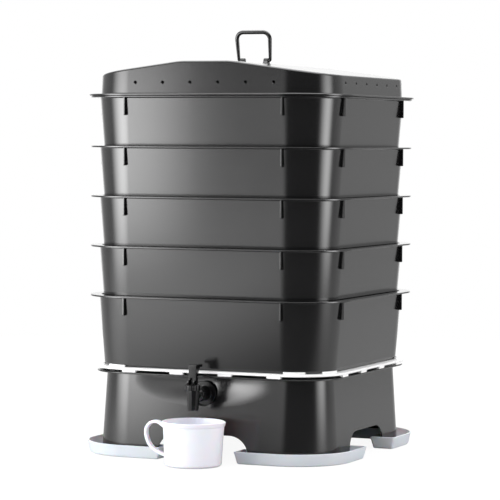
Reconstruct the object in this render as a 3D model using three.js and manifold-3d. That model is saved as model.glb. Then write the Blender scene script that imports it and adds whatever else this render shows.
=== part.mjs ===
// Wormery: five nested worm trays under a vented lid, on a strainer plate and a base that is a sump
// with a tap. The base stands in four moat dishes, and a collecting cup stands under the tap.
// Millimetres, +Z up. The origin is on the ground, under the middle of the whole object.

import * as THREE from 'three';
import { mergeVertices } from 'three/addons/utils/BufferGeometryUtils.js';
import Module from 'manifold-3d';

// Plan that the whole stack shares
const sideFlatHalf = 119.2;     // half the straight run of a side; the corner arcs are centred at its ends
const seatGap = 0.3;            // between pieces that rest on or against each other
const overrun = 2;              // how far a cutting shape runs past what it cuts
const cornerSteps = 6;          // facets in a large quarter turn
const roundSteps = 16;          // facets round a small turned piece

// Trays
const trayCount = 5;
const trayHeight = 104;
const trayPitch = 73;           // from one rim to the next; the rest of a tray hangs in the one below
const trayFootHalf = 181.9;
const trayLean = 8.3;           // how far each wall leans out from foot to rim
const trayWall = 2.5;
const trayFloor = 2.5;
const trayRimReach = 13.6;      // rim flange beyond the wall
const trayRimThick = 2.4;
const finOffset = 123.5;        // outside fins under the rim, from the middle of each side
const finThick = 2.5;
const finHeight = 26;
const finReach = 3.8;           // beyond the wall, just under the rim
const ledgeOffset = 62;         // inside ribs that carry the tray above, from the middle of each side
const ledgeThick = 3;
const ledgeTopReach = 14;
const ledgeFootReach = 6;
const floorSlotColumns = 3;
const floorSlotRows = 8;
const floorSlotWidth = 7;
const floorSlotBridge = 20;     // between the ends of two slots
const floorSlotSideMargin = 35.9;   // from the slots' ends to the edge of the foot
const floorSlotEndMargin = 45.4;    // from the first and last row to the edge of the foot

// Lid
const lidOverhang = 3;          // flange beyond the rim of the tray below
const lidFlangeThick = 2.4;
const lidWallSet = 1.3;         // foot of the walls inside the mouth of the tray below
const lidLean = 2.8;            // how far each wall leans in from foot to ridge
const lidWall = 2.5;
const lidRidgeHeight = 47.5;    // ridge above the top of the flange
const lidEavesHeight = 27.8;    // where the roof slope meets the side wall
const lidRidgeHalf = 39;        // half the width of the flat ridge
const lidLipDepth = 6;          // locating lip inside the top tray
const lidLipGap = 0.9;
const ventHeight = 16.5;        // above the top of the flange
const ventRadius = 1.8;
const ventPitch = 43.4;
const ventsPerSide = 6;
const ventSides = 6;            // facets round a vent

// Handle: a sprung wire bail in two moulded ears on the ridge
const handleWire = 5.5;
const handleFootHalf = 25.4;    // half the distance between the legs at the pivot
const handleTopHalf = 27.4;
const handleLength = 43.3;      // pivot to the middle of the top bar
const handleCorner = 9;
const handlePivotHeight = 5.6;  // above the ridge
const handleLeanDegrees = 9;    // towards the front, as it stands at rest
const handleSteps = 34;
const wireSides = 8;            // facets round the wire and other thin rods
const earThick = 7.4;
const earWidth = 15;
const earCover = 2.4;           // material round the pivot hole

// Strainer plate
const plateReach = 12.6;        // beyond the foot of the tray that stands on it
const plateThick = 3.3;
const plateFootHeight = 3.4;
const plateFootLength = 22;
const plateFootDepth = 6;
const plateFootOffsets = [38, 114];
const plateTabHeight = 3;
const plateTabThick = 2.6;
const plateTabStartDegrees = 5;
const plateTabEndDegrees = 33;
const plateTabGap = 0.6;
const plateSlotColumns = 3;
const plateSlotRows = 9;
const plateSlotWidth = 6;
const plateSlotBridge = 12;
const plateSlotSideMargin = 35.5;
const plateSlotEndMargin = 51.5;

// Base
const baseRimHeight = 123;      // top of the rim above the ground
const baseRimInset = 1.5;       // rim inside the edge of the strainer plate
const baseRimReach = 15;        // rim flange beyond the wall
const baseRimThick = 2.2;
const baseLean = 7.5;           // how far each wall leans out towards the foot
const baseWall = 3;
const sumpFloorThick = 3;
const sumpDepthFront = 49;      // below the rim; the sump's floor falls towards the tap
const sumpDepthBack = 37;
const archHalf = 72;
const archHeight = 37.5;
const archRadius = 30.5;
const postOffset = 70;
const postTopRadius = 9;
const postFootRadius = 14;
const postSides = 10;
const scoopHalf = 112;          // the hollow in the front wall round the tap, an ellipsoid's half axes
const scoopRise = 40;
const scoopDepth = 14;
const scoopStandoff = 7.5;      // its middle in front of the wall
const scoopDrop = 6;            // its middle below the rim
const scoopSteps = 20;

// Moat dishes
const dishReach = 21.5;         // beyond the foot of the base
const dishArmWidth = 39;
const dishHeight = 17.5;
const dishFloor = 3;
const dishWall = 2;
const dishEnd = 58;             // from the middle of a side to the end of an arm
const dishFlare = 4;            // how far each wall leans out over the dish's height

// Tap
const tapAxisDrop = 26;         // below the rim of the base
const tapSeatSet = 7.5;         // the flat seat in the scoop, behind the face of the wall
const tapSeatRadius = 19.5;
const tapSeatThick = 4;
const tapReach = 46;            // seat to the spout's axis
const spoutTopRadius = 9;
const spoutTipRadius = 7.15;
const spoutDrop = 21.4;         // tip below the barrel's axis
const spoutRise = 7;            // shoulder above the barrel's axis
const neckRadius = 8.4;
const neckHeight = 5;
const barrelRadius = 10.2;
const tapFlangeRadius = 17.5;
const tapFlangeThick = 3.4;
const shankRadius = 8;
const shankLength = 22;         // beyond the flange, through the wall and the nut
const tapBore = 3.8;
const outletBore = 4.8;
const chamberBore = 6.2;
const chamberDrop = 7;          // valve seat below the barrel's axis
const washerRadius = 16;
const washerThick = 2;
const nutRadius = 18;
const nutThick = 8;
const nutSides = 6;
const bonnetRadius = 11.8;
const bonnetHeight = 7.8;
const bonnetTop = 2.8;          // thickness over the neck
const bonnetFlutes = 12;
const bonnetFluteShare = 0.93;  // radius in a flute, of the bonnet's radius
const stemRadius = 1.2;
const plugRadius = 5.5;
const plugHeight = 4.5;
const eyeWidth = 4.2;
const eyeDepth = 6;
const eyeHeight = 6.8;
const pinRadius = 1.2;
const pinRise = 4;              // pin above the bonnet
const leverWidth = 12;
const leverGap = 4.8;           // between the prongs of the fork
const leverForkHeight = 10;     // top of the fork's gap above the pin
const leverHeight = 25;         // top of the lever above the pin
const leverTabThick = 5;
const leverTabReach = 19.2;     // behind the pin
const leverTabCurve = 5;
const camOffset = 6;            // the cam's centre in front of the pin

// Collecting cup
const cupX = 12.6;
const cupAhead = 27;            // middle of the cup in front of the spout's axis
const cupHeight = 63.6;
const cupRimRadius = 45.4;
const cupBeadRadius = 44.2;
const cupBeadDrop = 5;
const cupFootRadius = 39.5;
const cupFootRound = 5;
const cupWall = 2;
const cupFloor = 2.4;
const cupSteps = 28;
const cupFootSteps = 3;
const cupLipReach = 3.4;
const cupLipHeight = 9;
const cupLipSpreadDegrees = 24;
const cupHandleReach = 34;      // from the cup's wall to the outside of the ring
const cupHandleHeight = 51;
const cupHandleMiddle = 32;     // above the ground
const cupHandleDepth = 4.2;
const cupHandleWidth = 9;
const cupHandleSteps = 16;

// Places that follow from the sizes above
const trayMouthHalf = trayFootHalf + trayLean;
const trayRimHalf = trayMouthHalf + trayRimReach;
const trayRimUnder = trayHeight - trayRimThick;
const lidFlangeHalf = trayRimHalf + lidOverhang;
const lidFootHalf = trayMouthHalf - lidWallSet;
const lidTopHalf = lidFootHalf - lidLean;
const plateHalf = trayFootHalf + plateReach;
const baseRimHalf = plateHalf - baseRimInset;
const baseMouthHalf = baseRimHalf - baseRimReach;
const baseFootHalf = baseMouthHalf + baseLean;
const baseRimUnder = baseRimHeight - baseRimThick;
const sumpFloorFront = baseRimHeight - sumpDepthFront;
const sumpFloorBack = baseRimHeight - sumpDepthBack;
const scoopMiddle = baseRimHeight - scoopDrop;
const tapAxisHeight = baseRimHeight - tapAxisDrop;
const baseFootZ = dishFloor + seatGap;
const baseTaper = baseLean / (baseRimUnder - baseFootZ);
const baseHalfAt = (z) => baseFootHalf - baseTaper * (z - baseFootZ);
const dishHalf = baseFootHalf + dishReach;
const plateZ = baseRimHeight + seatGap + plateFootHeight;
const bottomTrayZ = plateZ + plateThick + seatGap;
const lidZ = bottomTrayZ + (trayCount - 1) * trayPitch + trayHeight + seatGap;
const ridgeZ = lidFlangeThick + lidRidgeHeight;
const handlePivotZ = ridgeZ + handlePivotHeight;
const tapSeatHalf = baseHalfAt(tapAxisHeight) - tapSeatSet;
const cupForward = tapSeatHalf + tapReach + cupAhead;
const cupFront = cupForward + cupRimRadius;
const stackY = (cupFront - dishHalf) / 2;
const bonnetZ = spoutRise + seatGap;
const pinZ = bonnetZ + bonnetHeight + pinRise;
const camRadius = pinRise - seatGap;
const quarterTurn = Math.PI / 2;

const wasm = await Module();
wasm.setup();

// Turns a closed three.js geometry into a solid that can be joined and cut
function toSolid(geometry) {
  const bare = geometry.clone();
  bare.deleteAttribute('normal');
  bare.deleteAttribute('uv');
  const merged = mergeVertices(bare);
  const corners = merged.index.array;
  const triangles = [];
  for (let i = 0; i < corners.length; i += 3) {
    const [a, b, c] = [corners[i], corners[i + 1], corners[i + 2]];
    if (a !== b && b !== c && c !== a) triangles.push(a, b, c);
  }
  const mesh = new wasm.Mesh({
    numProp: 3,
    vertProperties: merged.attributes.position.array,
    triVerts: new Uint32Array(triangles),
  });
  return new wasm.Manifold(mesh);
}

function toGeometry(solid) {
  const mesh = solid.getMesh();
  const geometry = new THREE.BufferGeometry();
  geometry.setAttribute('position', new THREE.BufferAttribute(mesh.vertProperties, 3));
  geometry.setIndex(new THREE.BufferAttribute(mesh.triVerts, 1));
  geometry.computeVertexNormals();
  return geometry;
}

const cut = (body, tools) => tools.reduce((rest, tool) => rest.subtract(tool), body);
const join = (body, extras) => extras.reduce((whole, extra) => whole.add(extra), body);

// Joins outlines with equal numbers of points into one closed body; each runs anticlockwise seen from above
function loft(outlines) {
  const count = outlines[0].length;
  const last = (outlines.length - 1) * count;
  const index = [];
  for (let layer = 0; layer < last; layer += count) {
    for (let i = 0; i < count; i++) {
      const next = (i + 1) % count;
      index.push(layer + i, layer + next, layer + count + next);
      index.push(layer + i, layer + count + next, layer + count + i);
    }
  }
  const flat = (outline) => outline.map((point) => new THREE.Vector2(point.x, point.y));
  for (const [a, b, c] of THREE.ShapeUtils.triangulateShape(flat(outlines[0]), [])) {
    index.push(a, c, b);
  }
  for (const [a, b, c] of THREE.ShapeUtils.triangulateShape(flat(outlines.at(-1)), [])) {
    index.push(last + a, last + b, last + c);
  }
  const geometry = new THREE.BufferGeometry().setFromPoints(outlines.flat());
  geometry.setIndex(index);
  return toSolid(geometry);
}

// Points of one corner arc, from one angle to another round the end of a side's straight run
function cornerArc(corner, half, from, to) {
  const turn = corner * quarterTurn;
  const middle = new THREE.Vector2(sideFlatHalf, sideFlatHalf).rotateAround(new THREE.Vector2(), turn);
  return Array.from({ length: cornerSteps + 1 }, (_, i) => {
    const angle = turn + from + ((to - from) * i) / cornerSteps;
    const radius = half - sideFlatHalf;
    return new THREE.Vector2(middle.x + radius * Math.cos(angle), middle.y + radius * Math.sin(angle));
  });
}

// A rounded square of one half width, level or at the height that a rule gives for each point
function squareRing(half, height) {
  const rule = typeof height === 'function' ? height : () => height;
  const points = [0, 1, 2, 3].flatMap((corner) => cornerArc(corner, half, 0, quarterTurn));
  return points.map((point) => new THREE.Vector3(point.x, point.y, rule(point)));
}

// A solid of revolution round Z; the profile holds [radius, height] pairs
function turned(profile, steps) {
  const points = profile.map(([radius, height]) => new THREE.Vector2(radius, height));
  return new THREE.LatheGeometry(points, steps).rotateX(quarterTurn);
}

// A rod between two heights, round Z
const rod = (radius, low, high, steps = roundSteps) =>
  turned([[0, low], [radius, low], [radius, high], [0, high]], steps);

// Lays a turned piece along +Y or along X
const alongY = (geometry) => geometry.rotateX(-quarterTurn);
const alongX = (geometry) => geometry.rotateY(quarterTurn);

// A level block between two corners
function block([x0, y0, z0], [x1, y1, z1]) {
  const box = new THREE.BoxGeometry(x1 - x0, y1 - y0, z1 - z0);
  return box.translate((x0 + x1) / 2, (y0 + y1) / 2, (z0 + z1) / 2);
}

// An upright plate across X on the front side: its outline is drawn in distance to the front and height
function uprightPlate(shape, thickness, curveSegments = cornerSteps) {
  const options = { depth: thickness, bevelEnabled: false, curveSegments };
  const geometry = new THREE.ExtrudeGeometry(shape, options).translate(0, 0, -thickness / 2);
  const front = new THREE.Vector3(0, -1, 0);
  const up = new THREE.Vector3(0, 0, 1);
  const across = new THREE.Vector3(-1, 0, 0);
  return geometry.applyMatrix4(new THREE.Matrix4().makeBasis(front, up, across));
}

const outline = (points) => new THREE.Shape(points.map(([x, y]) => new THREE.Vector2(x, y)));

// The same piece at each offset along each of the four sides
function onFourSides(geometry, offsets) {
  return [0, 1, 2, 3].flatMap((side) => offsets.map((offset) => {
    const copy = geometry.clone().translate(offset, 0, 0);
    return toSolid(copy.rotateZ(side * quarterTurn));
  }));
}

const mirrored = (offsets) => offsets.flatMap((offset) => [-offset, offset]);

// Places of a row of equal steps about zero
const rowOf = (count, pitch) => Array.from({ length: count }, (_, i) => (i - (count - 1) / 2) * pitch);

// Slots in columns and rows that fill a field of this reach from the middle, with a bridge between columns
function slotGrid(columns, rows, reachX, reachY, bridge, width, low, high) {
  const length = (2 * reachX + bridge) / columns - bridge;
  const rowPitch = (2 * reachY - width) / (rows - 1);
  return rowOf(columns, length + bridge).flatMap((x) => rowOf(rows, rowPitch).map((y) =>
    toSolid(block([x - length / 2, y - width / 2, low], [x + length / 2, y + width / 2, high]))));
}

// Trays

const trayHalfAt = (z) => trayFootHalf + ((trayMouthHalf - trayFootHalf) * z) / trayRimUnder;

function makeTray() {
  const shell = loft([
    squareRing(trayFootHalf, 0),
    squareRing(trayMouthHalf, trayRimUnder),
    squareRing(trayRimHalf, trayRimUnder),
    squareRing(trayRimHalf, trayHeight),
    squareRing(trayMouthHalf - trayWall, trayHeight),
    squareRing(trayHalfAt(trayFloor) - trayWall, trayFloor),
  ]);
  const finFoot = trayRimUnder - finHeight;
  const finRoot = trayHalfAt(finFoot) - trayWall / 2;
  const finFace = trayMouthHalf + finReach;
  const finTop = trayRimUnder + trayRimThick / 2;
  const finShape = outline([[finRoot, finFoot], [finFace, finFoot], [finFace, finTop], [finRoot, finTop]]);
  const fins = onFourSides(uprightPlate(finShape, finThick), mirrored([finOffset]));
  const ledgeTop = trayPitch - seatGap;
  const ledgeFoot = trayFloor / 2;
  const wallFoot = trayHalfAt(ledgeFoot) - trayWall;
  const wallTop = trayHalfAt(ledgeTop) - trayWall;
  const ledge = uprightPlate(outline([
    [wallFoot - ledgeFootReach, ledgeFoot],
    [wallFoot + trayWall / 2, ledgeFoot],
    [wallTop + trayWall / 2, ledgeTop],
    [wallTop - ledgeTopReach, ledgeTop],
  ]), ledgeThick);
  const ledges = onFourSides(ledge, mirrored([ledgeOffset]));
  return cut(join(shell, [...fins, ...ledges]), slotGrid(
    floorSlotColumns, floorSlotRows, trayFootHalf - floorSlotSideMargin,
    trayFootHalf - floorSlotEndMargin, floorSlotBridge, floorSlotWidth, -overrun, trayFloor + overrun,
  ));
}

// Lid and handle

// The roof: a flat ridge with two slopes, run from front to back, at one distance inside the outer skin
function roofPrism(inset) {
  const slope = (lidRidgeHeight - lidEavesHeight) / (lidTopHalf - lidRidgeHalf);
  const ridge = ridgeZ - inset;
  const reach = lidFootHalf + overrun;
  const eaves = ridge - slope * (reach - lidRidgeHalf);
  const low = -lidLipDepth - overrun;
  const shape = outline([
    [-reach, low], [reach, low], [reach, eaves],
    [lidRidgeHalf, ridge], [-lidRidgeHalf, ridge], [-reach, eaves],
  ]);
  const geometry = new THREE.ExtrudeGeometry(shape, { depth: 2 * reach, bevelEnabled: false });
  return toSolid(geometry.rotateX(quarterTurn).translate(0, reach, 0));
}

function makeLid() {
  const lipHalf = trayMouthHalf - trayWall - lidLipGap;
  const above = ridgeZ + overrun;
  const walls = loft([
    squareRing(lidFootHalf, 0),
    squareRing(lidTopHalf, ridgeZ),
    squareRing(lidTopHalf, above),
  ]);
  const flange = loft([squareRing(lidFlangeHalf, 0), squareRing(lidFlangeHalf, lidFlangeThick)]);
  const lip = loft([squareRing(lipHalf, -lidLipDepth), squareRing(lipHalf, lidFlangeThick)]);
  const hollow = loft([
    squareRing(lipHalf - lidWall, -lidLipDepth - overrun),
    squareRing(lipHalf - lidWall, lidFlangeThick),
    squareRing(lidTopHalf - lidWall, above),
  ]);
  const skin = walls.intersect(roofPrism(0)).add(flange).add(lip);
  const shell = skin.subtract(hollow.intersect(roofPrism(lidWall)));

  const vent = alongY(rod(ventRadius, -lidFootHalf - overrun, -sideFlatHalf, ventSides));
  vent.translate(0, 0, lidFlangeThick + ventHeight);
  const vented = cut(shell, onFourSides(vent, rowOf(ventsPerSide, ventPitch)));

  const holeRadius = handleWire / 2 + seatGap;
  const crown = holeRadius + earCover;
  const root = ridgeZ - lidWall / 2;
  const shape = new THREE.Shape();
  shape.moveTo(-earWidth / 2, root);
  shape.lineTo(earWidth / 2, root);
  shape.lineTo(earWidth / 2, ridgeZ);
  shape.absarc(0, handlePivotZ, crown, 0, Math.PI);
  shape.lineTo(-earWidth / 2, ridgeZ);
  const earX = handleFootHalf - handleWire / 2 - seatGap - earThick / 2;
  const ears = [-earX, earX].map((x) => {
    const hole = alongX(rod(holeRadius, -earThick, earThick)).translate(x, 0, handlePivotZ);
    return toSolid(uprightPlate(shape, earThick).translate(x, 0, 0)).subtract(toSolid(hole));
  });
  return join(vented, ears);
}

// The bail, drawn upright with its pivot at the origin
function makeHandle() {
  const pinEnd = handleFootHalf - handleWire / 2 - seatGap - earThick;
  const corner = new THREE.Vector3(handleTopHalf, 0, handleLength);
  const foot = new THREE.Vector3(handleFootHalf, 0, 0);
  const bend = handleWire / 2;
  const towards = (from, to, distance) => from.clone().add(to.clone().sub(from).setLength(distance));
  const flip = (point) => new THREE.Vector3(-point.x, point.y, point.z);
  const inner = new THREE.Vector3(pinEnd, 0, 0);
  const barEnd = new THREE.Vector3(handleTopHalf - handleCorner, 0, handleLength);
  const legEnd = towards(corner, foot, handleCorner);
  const footEnd = towards(foot, corner, bend);
  const pinStart = towards(foot, inner, bend);
  const path = new THREE.CurvePath();
  path.add(new THREE.LineCurve3(inner, pinStart));
  path.add(new THREE.QuadraticBezierCurve3(pinStart, foot, footEnd));
  path.add(new THREE.LineCurve3(footEnd, legEnd));
  path.add(new THREE.QuadraticBezierCurve3(legEnd, corner, barEnd));
  path.add(new THREE.LineCurve3(barEnd, flip(barEnd)));
  path.add(new THREE.QuadraticBezierCurve3(flip(barEnd), flip(corner), flip(legEnd)));
  path.add(new THREE.LineCurve3(flip(legEnd), flip(footEnd)));
  path.add(new THREE.QuadraticBezierCurve3(flip(footEnd), flip(foot), flip(pinStart)));
  path.add(new THREE.LineCurve3(flip(pinStart), flip(inner)));
  const section = new THREE.Shape().absarc(0, 0, handleWire / 2, 0, 2 * Math.PI);
  const options = { steps: handleSteps, extrudePath: path, curveSegments: wireSides / 2 };
  return toSolid(new THREE.ExtrudeGeometry(section, options));
}

// Strainer plate

function makeStrainerPlate() {
  const sheet = loft([squareRing(plateHalf, 0), squareRing(plateHalf, plateThick)]);
  const foot = block(
    [-plateFootLength / 2, -plateHalf, -plateFootHeight],
    [plateFootLength / 2, plateFootDepth - plateHalf, plateThick / 2],
  );
  const tabInner = trayFootHalf - sideFlatHalf + plateTabGap;
  const tabOuter = tabInner + plateTabThick;
  const start = THREE.MathUtils.degToRad(plateTabStartDegrees);
  const end = THREE.MathUtils.degToRad(plateTabEndDegrees);
  const tabArcs = [[start, end], [quarterTurn - end, quarterTurn - start]];
  const tabs = [0, 1, 2, 3].flatMap((corner) => tabArcs.map(([from, to]) => {
    const shape = new THREE.Shape();
    shape.absarc(sideFlatHalf, sideFlatHalf, tabOuter, from, to);
    shape.absarc(sideFlatHalf, sideFlatHalf, tabInner, to, from, true);
    const depth = plateTabHeight + plateThick / 2;
    const options = { depth, bevelEnabled: false, curveSegments: cornerSteps / 2 };
    const tab = new THREE.ExtrudeGeometry(shape, options);
    return toSolid(tab.translate(0, 0, plateThick / 2).rotateZ(corner * quarterTurn));
  }));
  const whole = join(sheet, [...onFourSides(foot, mirrored(plateFootOffsets)), ...tabs]);
  return cut(whole, slotGrid(
    plateSlotColumns, plateSlotRows, plateHalf - plateSlotSideMargin,
    plateHalf - plateSlotEndMargin, plateSlotBridge, plateSlotWidth, -overrun, plateThick + overrun,
  ));
}

// Base

const sumpFall = (sumpFloorBack - sumpFloorFront) / (2 * baseMouthHalf);
const sumpFloorAt = (y) => sumpFloorFront + sumpFall * (y + baseMouthHalf);

function archTool() {
  const reach = baseFootHalf + overrun;
  const shape = new THREE.Shape();
  shape.moveTo(-archHalf, -overrun);
  shape.lineTo(archHalf, -overrun);
  shape.absarc(archHalf - archRadius, archHeight - archRadius, archRadius, 0, quarterTurn);
  shape.absarc(archRadius - archHalf, archHeight - archRadius, archRadius, quarterTurn, Math.PI);
  const options = { depth: 2 * reach, bevelEnabled: false, curveSegments: cornerSteps };
  return new THREE.ExtrudeGeometry(shape, options).rotateX(quarterTurn).translate(0, reach, 0);
}

// The scoop's ellipsoid, grown all round by one amount
function scoop(growth) {
  const middle = -baseHalfAt(tapAxisHeight) - scoopStandoff;
  const ball = new THREE.SphereGeometry(1, scoopSteps, scoopSteps / 2).rotateX(quarterTurn);
  ball.scale(scoopHalf + growth, scoopDepth + growth, scoopRise + growth);
  return toSolid(ball.translate(0, middle, scoopMiddle));
}

function makeBase() {
  const tapDisc = (radius, near, far) =>
    toSolid(alongY(rod(radius, near, far)).translate(0, 0, tapAxisHeight));
  const outside = baseFootHalf + overrun;
  const walls = loft([squareRing(baseFootHalf, baseFootZ), squareRing(baseMouthHalf, baseRimUnder)]);
  const hollowed = cut(walls, [scoop(0), tapDisc(tapSeatRadius, -outside, -tapSeatHalf)]);
  const rim = loft([squareRing(baseRimHalf, baseRimUnder), squareRing(baseRimHalf, baseRimHeight)]);

  const sumpHalf = baseHalfAt(sumpFloorFront) - baseWall;
  const sump = loft([
    squareRing(sumpHalf, (point) => sumpFloorAt(point.y)),
    squareRing(baseMouthHalf - baseWall, baseRimUnder),
    squareRing(baseMouthHalf - baseWall, baseRimHeight + overrun),
  ]);
  const seatBack = tapDisc(tapSeatRadius + baseWall, -outside, tapSeatThick - tapSeatHalf);
  const skirt = loft([
    squareRing(baseFootHalf - baseWall, 0),
    squareRing(sumpHalf, (point) => sumpFloorAt(point.y) - sumpFloorThick),
  ]);
  const shell = cut(hollowed.add(rim), [cut(sump, [scoop(baseWall), seatBack]), skirt]);

  const arch = archTool();
  const opened = cut(shell, [
    toSolid(arch),
    toSolid(arch.clone().rotateZ(quarterTurn)),
    tapDisc(shankRadius + seatGap, -outside, -sideFlatHalf),
  ]);
  const postTop = plateZ - seatGap;
  const posts = mirrored([postOffset]).flatMap((x) => mirrored([postOffset]).map((y) => {
    const foot = sumpFloorAt(y) - sumpFloorThick / 2;
    const profile = [[0, foot], [postFootRadius, foot], [postTopRadius, postTop], [0, postTop]];
    return toSolid(turned(profile, postSides).translate(x, y, 0));
  }));
  return join(opened, posts);
}

// Moat dish for the front right leg; the others are turned copies

function dishOutline(outer, inner, end, height) {
  const front = cornerArc(3, outer, 0, quarterTurn);
  const back = cornerArc(3, inner, quarterTurn, 0);
  const points = [
    new THREE.Vector2(end, -outer), ...front, new THREE.Vector2(outer, -end),
    new THREE.Vector2(inner, -end), ...back, new THREE.Vector2(end, -inner),
  ];
  return points.map((point) => new THREE.Vector3(point.x, point.y, height));
}

function makeDish() {
  const dishInner = dishHalf - dishArmWidth;
  const layer = (inset, height) =>
    dishOutline(dishHalf - inset, dishInner + inset, dishEnd + inset, height);
  const floorInset = dishWall + dishFlare * (1 - dishFloor / dishHeight);
  return loft([
    layer(dishFlare, 0),
    layer(0, dishHeight),
    layer(dishWall, dishHeight),
    layer(floorInset, dishFloor),
  ]);
}

// Tap, drawn with the spout's axis on Z and the barrel's axis along Y through the origin

const flangeFront = tapReach - seatGap - washerThick - seatGap - tapFlangeThick;
const flangeBack = flangeFront + tapFlangeThick;

function makeTapBody() {
  const neckTop = spoutRise + neckHeight;
  const barrelStart = bonnetRadius + seatGap;
  const spout = turned([
    [0, -spoutDrop], [spoutTipRadius, -spoutDrop], [spoutTopRadius, spoutRise],
    [neckRadius, spoutRise], [neckRadius, neckTop], [0, neckTop],
  ], roundSteps);
  const barrel = alongY(turned([
    [0, 0], [spoutRise, 0], [spoutRise, barrelStart],
    [barrelRadius, barrelStart + barrelRadius - spoutRise], [barrelRadius, flangeFront],
    [tapFlangeRadius, flangeFront], [tapFlangeRadius, flangeBack],
    [shankRadius, flangeBack], [shankRadius, flangeBack + shankLength], [0, flangeBack + shankLength],
  ], roundSteps));
  return cut(toSolid(spout).add(toSolid(barrel)), [
    toSolid(alongY(rod(tapBore, 0, flangeBack + shankLength + overrun))),
    toSolid(rod(outletBore, -spoutDrop - overrun, 0)),
    toSolid(rod(chamberBore, -chamberDrop, neckTop + overrun)),
  ]);
}

// A flat ring along Y, from one place to another
function ringAlongY(shape, near, far) {
  shape.holes.push(new THREE.Path().absarc(0, 0, shankRadius + seatGap, 0, 2 * Math.PI, true));
  const options = { depth: far - near, bevelEnabled: false, curveSegments: roundSteps / 2 };
  return toSolid(new THREE.ExtrudeGeometry(shape, options).rotateX(-quarterTurn).translate(0, near, 0));
}

function washerAt(near) {
  return ringAlongY(new THREE.Shape().absarc(0, 0, washerRadius, 0, 2 * Math.PI), near, near + washerThick);
}

function makeTapNut(near) {
  const corners = Array.from({ length: nutSides }, (_, i) => {
    const angle = (i * 2 * Math.PI) / nutSides;
    return [nutRadius * Math.cos(angle), nutRadius * Math.sin(angle)];
  });
  return ringAlongY(outline(corners), near, near + nutThick);
}

function makeBonnet() {
  const points = Array.from({ length: 2 * bonnetFlutes }, (_, i) => {
    const radius = bonnetRadius * (i % 2 ? bonnetFluteShare : 1);
    const angle = (i * Math.PI) / bonnetFlutes;
    return [radius * Math.cos(angle), radius * Math.sin(angle)];
  });
  const cap = new THREE.ExtrudeGeometry(outline(points), { depth: bonnetHeight, bevelEnabled: false });
  return cut(toSolid(cap.translate(0, 0, bonnetZ)), [
    toSolid(rod(neckRadius + seatGap, bonnetZ - overrun, bonnetZ + bonnetHeight - bonnetTop)),
    toSolid(rod(stemRadius + seatGap, bonnetZ, bonnetZ + bonnetHeight + overrun)),
  ]);
}

function makePlunger() {
  const plugFoot = seatGap - chamberDrop;
  const plugTop = plugFoot + plugHeight;
  const stem = turned([
    [0, plugFoot], [plugRadius, plugFoot], [plugRadius, plugTop], [stemRadius, plugTop + stemRadius],
    [stemRadius, pinZ], [0, pinZ],
  ], roundSteps);
  const eye = block(
    [-eyeWidth / 2, -eyeDepth / 2, pinZ - eyeHeight / 2],
    [eyeWidth / 2, eyeDepth / 2, pinZ + eyeHeight / 2],
  );
  const hole = alongX(rod(pinRadius + seatGap, -leverWidth, leverWidth)).translate(0, 0, pinZ);
  return toSolid(stem).add(toSolid(eye)).subtract(toSolid(hole));
}

function makeLeverPin() {
  return toSolid(alongX(rod(pinRadius, -leverWidth / 2, leverWidth / 2, wireSides)).translate(0, 0, pinZ));
}

// The fork's feet are cams: pulled forward, they press on the bonnet and lift the pin and the plunger
function makeLever() {
  const shape = new THREE.Shape();
  shape.moveTo(-camRadius, 0);
  shape.absarc(0, 0, camRadius, Math.PI, 1.5 * Math.PI);
  shape.absarc(camOffset, 0, camRadius, -quarterTurn, quarterTurn);
  shape.lineTo(camRadius, camRadius);
  shape.lineTo(camRadius, leverHeight);
  shape.lineTo(-leverTabReach, leverHeight);
  shape.lineTo(-leverTabReach, leverHeight - leverTabThick);
  shape.lineTo(-camRadius - leverTabCurve, leverHeight - leverTabThick);
  const tabFoot = leverHeight - leverTabThick;
  shape.quadraticCurveTo(-camRadius, tabFoot, -camRadius, tabFoot - leverTabCurve);
  const reach = camOffset + camRadius + overrun;
  const gap = block([-leverGap / 2, -reach, -camRadius - overrun], [leverGap / 2, reach, leverForkHeight]);
  const hole = alongX(rod(pinRadius + seatGap, -leverWidth, leverWidth));
  return cut(toSolid(uprightPlate(shape, leverWidth, wireSides)), [toSolid(gap), toSolid(hole)]);
}

// Collecting cup, drawn about its own axis with the handle towards -X

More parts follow.
